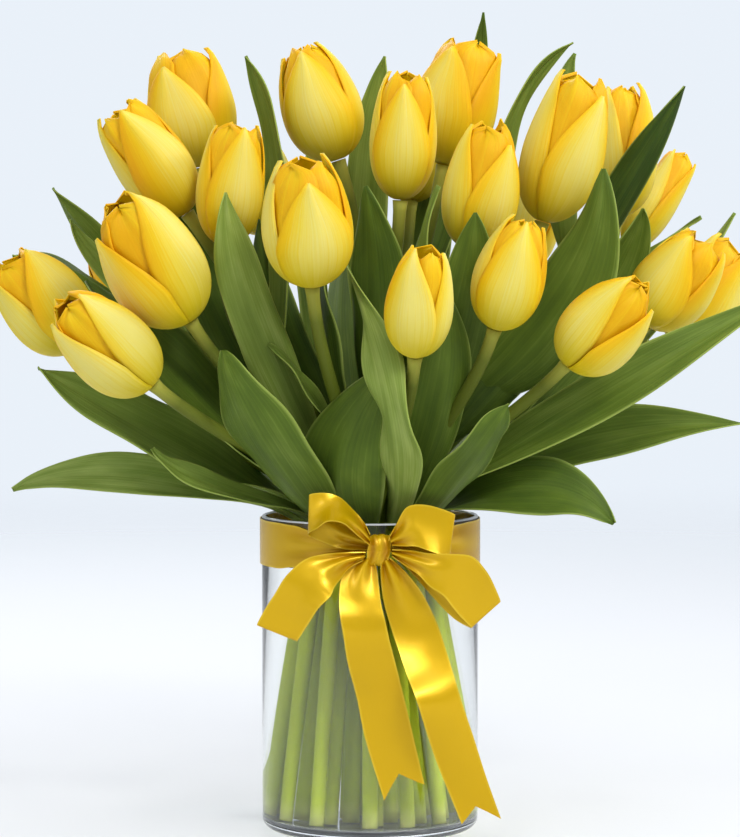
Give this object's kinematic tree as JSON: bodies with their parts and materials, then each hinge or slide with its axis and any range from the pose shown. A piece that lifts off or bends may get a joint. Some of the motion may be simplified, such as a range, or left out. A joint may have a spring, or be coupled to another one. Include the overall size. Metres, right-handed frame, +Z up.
{
  "type": "bunch of tulips",
  "caption": "Bunch of yellow tulips with long green leaves, standing in a straight clear glass vase of water with a yellow satin ribbon tied round its top in a bow.",
  "frame": {"origin": "centre of the vase's flat underside", "axes": "+Z up along the vase's axis, -Y to the front where the bow hangs, +X to the right seen from the front"},
  "size_m": [0.3704, 0.2784, 0.387],
  "materials": {
    "glass": "clear polished glass",
    "water": "clear still water",
    "ribbon": "golden yellow satin",
    "petal": "waxy yellow petals with finer golden margins",
    "leaf": "fresh green leaves and stems with a soft sheen"
  },
  "bodies": {
    "root": {"vase": "glass", "water": "water", "ribbon_band": "ribbon", "bow_knot": "ribbon", "bow_loop_upper_left": "ribbon", "bow_loop_upper_right": "ribbon", "bow_loop_lower_left": "ribbon", "bow_loop_lower_right": "ribbon", "bow_tail_left": "ribbon", "bow_tail_right": "ribbon", "tulip_a_leafy_stem": "leaf", "tulip_a_bloom": "petal", "tulip_b_leafy_stem": "leaf", "tulip_b_bloom": "petal", "tulip_c_leafy_stem": "leaf", "tulip_c_bloom": "petal", "tulip_d_leafy_stem": "leaf", "tulip_d_bloom": "petal", "tulip_e_leafy_stem": "leaf", "tulip_e_bloom": "petal", "tulip_f_leafy_stem": "leaf", "tulip_f_bloom": "petal", "tulip_g_leafy_stem": "leaf", "tulip_g_bloom": "petal", "tulip_h_leafy_stem": "leaf", "tulip_h_bloom": "petal", "tulip_i_leafy_stem": "leaf", "tulip_i_bloom": "petal", "tulip_j_leafy_stem": "leaf", "tulip_j_bloom": "petal", "tulip_k_leafy_stem": "leaf", "tulip_k_bloom": "petal", "tulip_l_leafy_stem": "leaf", "tulip_l_bloom": "petal", "tulip_m_leafy_stem": "leaf", "tulip_m_bloom": "petal", "tulip_n_leafy_stem": "leaf", "tulip_n_bloom": "petal", "tulip_o_leafy_stem": "leaf", "tulip_o_bloom": "petal", "tulip_p_leafy_stem": "leaf", "tulip_p_bloom": "petal", "tulip_q_leafy_stem": "leaf", "tulip_q_bloom": "petal", "tulip_r_leafy_stem": "leaf", "tulip_r_bloom": "petal", "tulip_s_leafy_stem": "leaf", "tulip_s_bloom": "petal", "tulip_t_leafy_stem": "leaf", "tulip_t_bloom": "petal", "tulip_u_leafy_stem": "leaf", "tulip_u_bloom": "petal", "tulip_v_leafy_stem": "leaf", "tulip_v_bloom": "petal", "tulip_w_leafy_stem": "leaf", "tulip_w_bloom": "petal", "tulip_x_leafy_stem": "leaf", "tulip_x_bloom": "petal"}
  },
  "joints": []
}
